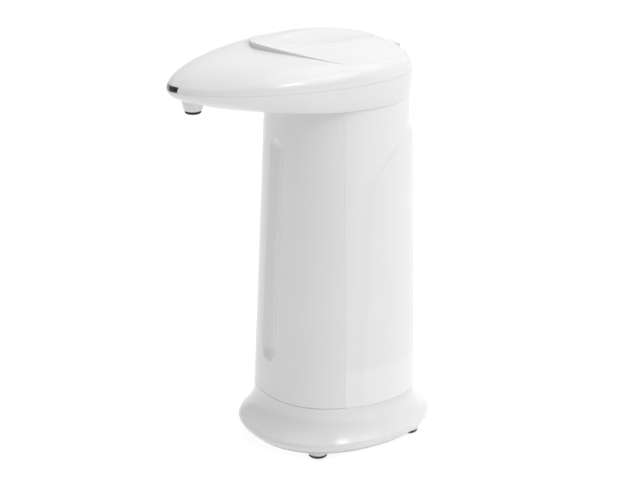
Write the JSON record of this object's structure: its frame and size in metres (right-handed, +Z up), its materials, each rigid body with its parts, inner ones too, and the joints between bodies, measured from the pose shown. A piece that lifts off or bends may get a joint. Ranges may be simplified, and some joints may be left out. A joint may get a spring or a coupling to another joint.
{
  "type": "touch-free soap dispenser",
  "caption": "Free-standing battery soap dispenser: fluted column with a rear tank, an overhanging nozzle head with a flip-up refill lid, a geared roller pump and a flared base on rubber feet.",
  "frame": {"origin": "middle of the overall footprint, on the table under the feet", "axes": "+Z up, the nose and nozzle point along -Y, +X to the user's right hand side when standing behind it"},
  "size_m": [0.0794, 0.128, 0.1905],
  "materials": {
    "shell_white": "glossy, faint soft mould waviness",
    "inner_white": "satin",
    "tank_white": "glossy, milky",
    "dark_plastic": "satin",
    "cell_wrap": "glossy plain sleeve",
    "bright_metal": "fine drawn",
    "rubber_foot": "matt",
    "switch_cap": "satin",
    "seal_rubber": "matt",
    "window_black": "polished",
    "emitter_violet": "clear tinted",
    "lamp_red": "clear tinted",
    "board_green": "solder-mask gloss",
    "nozzle_black": "satin",
    "hose_clear": "clear silicone",
    "gear_plastic": "satin",
    "pump_orange": "satin",
    "pump_ivory": "satin",
    "wire_red": "PVC sleeve",
    "screw_steel": "zinc plated"
  },
  "bodies": {
    "housing": {"base_skirt": "shell_white", "bottom_plate": "inner_white", "battery_door": "inner_white", "battery_tray": "dark_plastic", "battery_cell_1": "cell_wrap", "battery_cell_2": "cell_wrap", "battery_cell_3": "cell_wrap", "battery_cell_4": "cell_wrap", "battery_contacts": "bright_metal", "foot_pad_1": "rubber_foot", "foot_pad_2": "rubber_foot", "foot_pad_3": "rubber_foot", "foot_pad_4": "rubber_foot", "switch_body": "dark_plastic", "works_frame": "inner_white", "front_cover": "shell_white", "soap_tank": "tank_white", "tank_gasket": "seal_rubber", "head_lower_shell": "shell_white", "head_upper_shell": "shell_white", "filler_deck": "inner_white", "lid_hinge_pin": "bright_metal", "sensor_window": "window_black", "sensor_board": "board_green", "ir_emitter": "emitter_violet", "ir_receiver": "window_black", "status_lamp": "lamp_red", "nozzle_insert": "nozzle_black", "outlet_hose": "hose_clear", "pump_motor": "bright_metal", "idler_axle": "bright_metal", "pump_housing": "pump_ivory", "pump_lid": "pump_ivory", "tank_elbow": "inner_white", "control_board": "board_green", "battery_wires": "wire_red", "base_screws": "screw_steel", "column_screws": "screw_steel", "head_screws": "screw_steel", "pump_screws": "screw_steel", "board_screws": "screw_steel"},
    "lid": {"fill_lid": "shell_white", "lid_seal": "seal_rubber"},
    "power_slider": {"switch_slider": "switch_cap"},
    "pinion": {"motor_pinion": "gear_plastic"},
    "idler": {"idler_gear": "gear_plastic"},
    "rotor": {"rotor_gear": "gear_plastic", "rotor_shaft": "bright_metal", "pump_rotor": "pump_orange"},
    "roller_1": {"pump_roller_1": "gear_plastic"},
    "roller_2": {"pump_roller_2": "gear_plastic"},
    "roller_3": {"pump_roller_3": "gear_plastic"}
  },
  "joints": [
    {"name": "lid_hinge", "type": "hinge", "parent": "housing", "child": "lid", "pos_m": [0, 0.0456, 0.18169], "axis": [-1, 0, 0], "range_deg": [0, 95]},
    {"name": "power_slide", "type": "slide", "parent": "housing", "child": "power_slider", "axis": [1, 0, 0], "range_m": [0, 0.003]},
    {"name": "rotor_spin", "type": "hinge", "parent": "housing", "child": "rotor", "pos_m": [0, 0.0293, 0.0311], "axis": [0, 0, 1], "continuous": true},
    {"name": "idler_spin", "type": "hinge", "parent": "housing", "child": "idler", "pos_m": [0, 0.0116, 0.0271], "axis": [0, 0, 1], "continuous": true},
    {"name": "pinion_spin", "type": "hinge", "parent": "housing", "child": "pinion", "pos_m": [0, -0.0045, 0.0271], "axis": [0, 0, 1], "continuous": true},
    {"name": "roller_1_spin", "type": "hinge", "parent": "rotor", "child": "roller_1", "pos_m": [0.0117, 0.0293, 0.0341], "axis": [0, 0, 1], "continuous": true},
    {"name": "roller_2_spin", "type": "hinge", "parent": "rotor", "child": "roller_2", "pos_m": [-0.00585, 0.03943, 0.0341], "axis": [0, 0, 1], "continuous": true},
    {"name": "roller_3_spin", "type": "hinge", "parent": "rotor", "child": "roller_3", "pos_m": [-0.00585, 0.01917, 0.0341], "axis": [0, 0, 1], "continuous": true}
  ],
  "couplings": [
    {"joint": "idler_spin", "follows": "rotor_spin", "ratio": -3.4},
    {"joint": "pinion_spin", "follows": "rotor_spin", "ratio": 10.2},
    {"joint": "roller_1_spin", "follows": "rotor_spin", "ratio": -4.4286},
    {"joint": "roller_2_spin", "follows": "rotor_spin", "ratio": -4.4286},
    {"joint": "roller_3_spin", "follows": "rotor_spin", "ratio": -4.4286}
  ]
}
